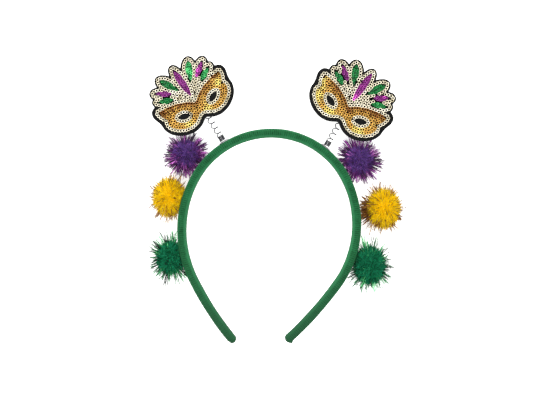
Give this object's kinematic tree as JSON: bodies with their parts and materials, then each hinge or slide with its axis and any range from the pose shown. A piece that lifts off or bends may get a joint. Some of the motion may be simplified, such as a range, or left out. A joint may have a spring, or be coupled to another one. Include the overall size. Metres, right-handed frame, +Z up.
{
  "type": "mask headband",
  "caption": "Cloth-covered carnival headband with sequinned eye masks bobbing on coil springs and fluffy tinsel pompoms in purple, yellow and green along its sides.",
  "frame": {"origin": "on the surface that it lies on, under the middle of its plan", "axes": "+Z up, towards the masks' faces; +Y from the hoop's open ends to its crown; +X to the right as the masks face the viewer"},
  "size_m": [0.1832, 0.2068, 0.0297],
  "materials": {
    "cloth": "ribbed green cloth, wrapped tight over the hoop",
    "steel": "bright thin spring wire and sheet",
    "felt": "matt black felt",
    "gold_sequins": "metallic gold sequins",
    "pale_sequins": "pale champagne metallic sequins",
    "green_sequins": "metallic green sequins",
    "purple_sequins": "metallic purple sequins",
    "purple_tinsel": "dark violet fluff with shiny purple tinsel",
    "yellow_tinsel": "golden yellow fluff with brown-gold tinsel",
    "green_tinsel": "deep green fluff with shiny green tinsel"
  },
  "bodies": {
    "headband": {"band": "cloth", "left_spring_clip": "steel", "left_spring": "steel", "right_spring_clip": "steel", "right_spring": "steel", "left_purple_pompom": "purple_tinsel", "left_yellow_pompom": "yellow_tinsel", "left_green_pompom": "green_tinsel", "right_purple_pompom": "purple_tinsel", "right_yellow_pompom": "yellow_tinsel", "right_green_pompom": "green_tinsel"},
    "left_mask": {"left_felt": "felt", "left_gold_field": "gold_sequins", "left_trim": "pale_sequins", "left_eye_rim_1": "pale_sequins", "left_eye_rim_2": "pale_sequins", "left_feather_1": "green_sequins", "left_feather_2": "purple_sequins", "left_feather_3": "green_sequins", "left_feather_4": "purple_sequins", "left_feather_5": "green_sequins", "left_feather_6": "purple_sequins", "left_feather_7": "green_sequins"},
    "right_mask": {"right_felt": "felt", "right_gold_field": "gold_sequins", "right_trim": "pale_sequins", "right_eye_rim_1": "pale_sequins", "right_eye_rim_2": "pale_sequins", "right_feather_1": "green_sequins", "right_feather_2": "purple_sequins", "right_feather_3": "green_sequins", "right_feather_4": "purple_sequins", "right_feather_5": "green_sequins", "right_feather_6": "purple_sequins", "right_feather_7": "green_sequins"}
  },
  "joints": [
    {"name": "left_nod", "type": "hinge", "parent": "headband", "child": "left_mask", "pos_m": [-0.0441, 0.0531, 0.017], "axis": [0.848, 0.5299, 0], "range_deg": [-15, 45], "stiffness_Nm_per_rad": 0.014, "springref_deg": 5.16, "deforming": ["left_spring"]},
    {"name": "right_nod", "type": "hinge", "parent": "headband", "child": "right_mask", "pos_m": [0.0422, 0.049, 0.017], "axis": [0.866, -0.5, 0], "range_deg": [-15, 45], "stiffness_Nm_per_rad": 0.014, "springref_deg": 5.16, "deforming": ["right_spring"]}
  ]
}
